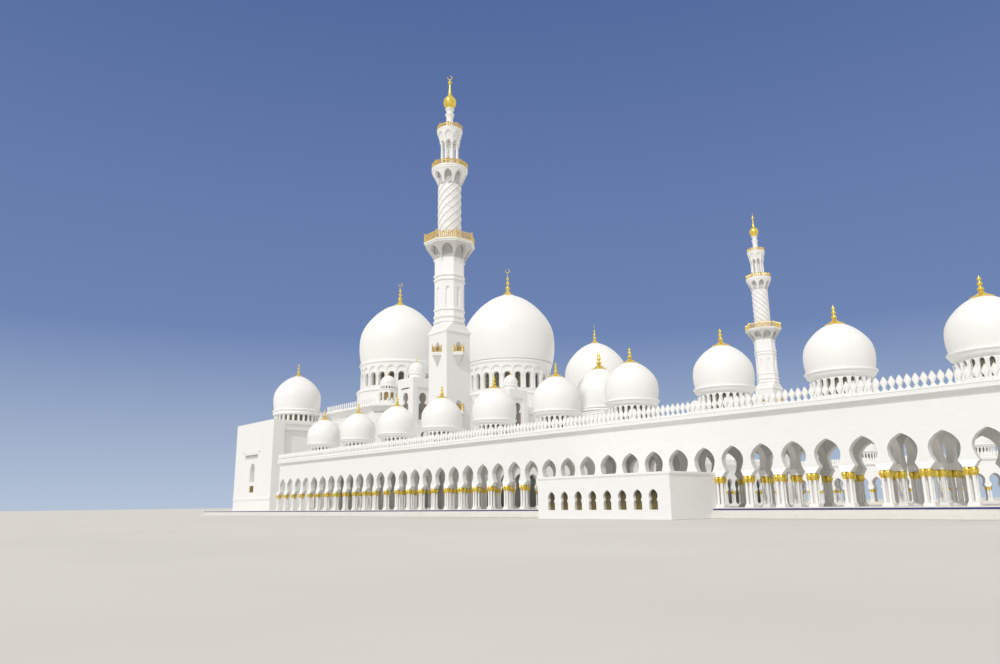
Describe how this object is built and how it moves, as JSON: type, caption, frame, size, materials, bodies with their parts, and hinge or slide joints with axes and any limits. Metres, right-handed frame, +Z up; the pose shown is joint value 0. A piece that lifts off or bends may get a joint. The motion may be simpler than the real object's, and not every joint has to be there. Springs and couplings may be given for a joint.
{
  "type": "mosque building, scale model at 1:10",
  "caption": "Scale model of a white marble mosque: domed prayer hall, tall minarets with gilded galleries, and arcaded wings with small domes round an open courtyard.",
  "frame": {"origin": "middle of the podium's underside, on the building's axis of symmetry, on the ground line", "axes": "+X east along the south arcade towards the open end of the courtyard, +Y north across it, +Z up"},
  "size_m": [21.64, 18.832, 10.7066],
  "materials": {
    "marble": "honed white marble",
    "plinth": "honed pale marble steps",
    "gold": "gilded, polished",
    "window_glass": "dark tinted glazing",
    "lattice": "gilded window lattice",
    "blue_tile": "glazed blue tile strip"
  },
  "bodies": {
    "root": {"hall_roof": "marble", "hall_walls": "marble", "main_dome": "marble", "main_drum": "marble", "main_finial": "gold", "north_arcade_east": "marble", "north_arcade_mid_east": "marble", "north_arcade_mid_west": "marble", "north_arcade_roof_east": "marble", "north_arcade_roof_middle": "marble", "north_arcade_roof_west": "marble", "north_arcade_west": "marble", "north_back_wall": "marble", "north_court_arcade_east": "marble", "north_court_arcade_middle": "marble", "north_court_arcade_west": "marble", "north_end_block": "marble", "north_hall_dome": "marble", "north_hall_drum": "marble", "north_hall_finial": "gold", "north_hall_tower_inner": "marble", "north_hall_tower_outer": "marble", "north_minaret_base": "marble", "north_minaret_finial": "gold", "north_minaret_lantern": "marble", "north_minaret_lower_railing": "gold", "north_minaret_middle_railing": "gold", "north_minaret_shaft": "marble", "north_minaret_upper_railing": "gold", "podium": "plinth", "portal_block": "marble", "south_arcade_east": "marble", "south_arcade_mid_east": "marble", "south_arcade_mid_west": "marble", "south_arcade_roof_east": "marble", "south_arcade_roof_middle": "marble", "south_arcade_roof_west": "marble", "south_arcade_west": "marble", "south_back_wall": "marble", "south_court_arcade_east": "marble", "south_court_arcade_middle": "marble", "south_court_arcade_west": "marble", "south_end_block": "marble", "south_hall_dome": "marble", "south_hall_drum": "marble", "south_hall_finial": "gold", "south_hall_tower_inner": "marble", "south_hall_tower_outer": "marble", "south_minaret_base": "marble", "south_minaret_finial": "gold", "south_minaret_lantern": "marble", "south_minaret_lower_railing": "gold", "south_minaret_middle_railing": "gold", "south_minaret_shaft": "marble", "south_minaret_upper_railing": "gold", "west_arcade_north": "marble", "west_arcade_roof": "marble", "west_arcade_south": "marble", "wing_roof": "marble", "wing_walls": "marble"}
  },
  "joints": []
}
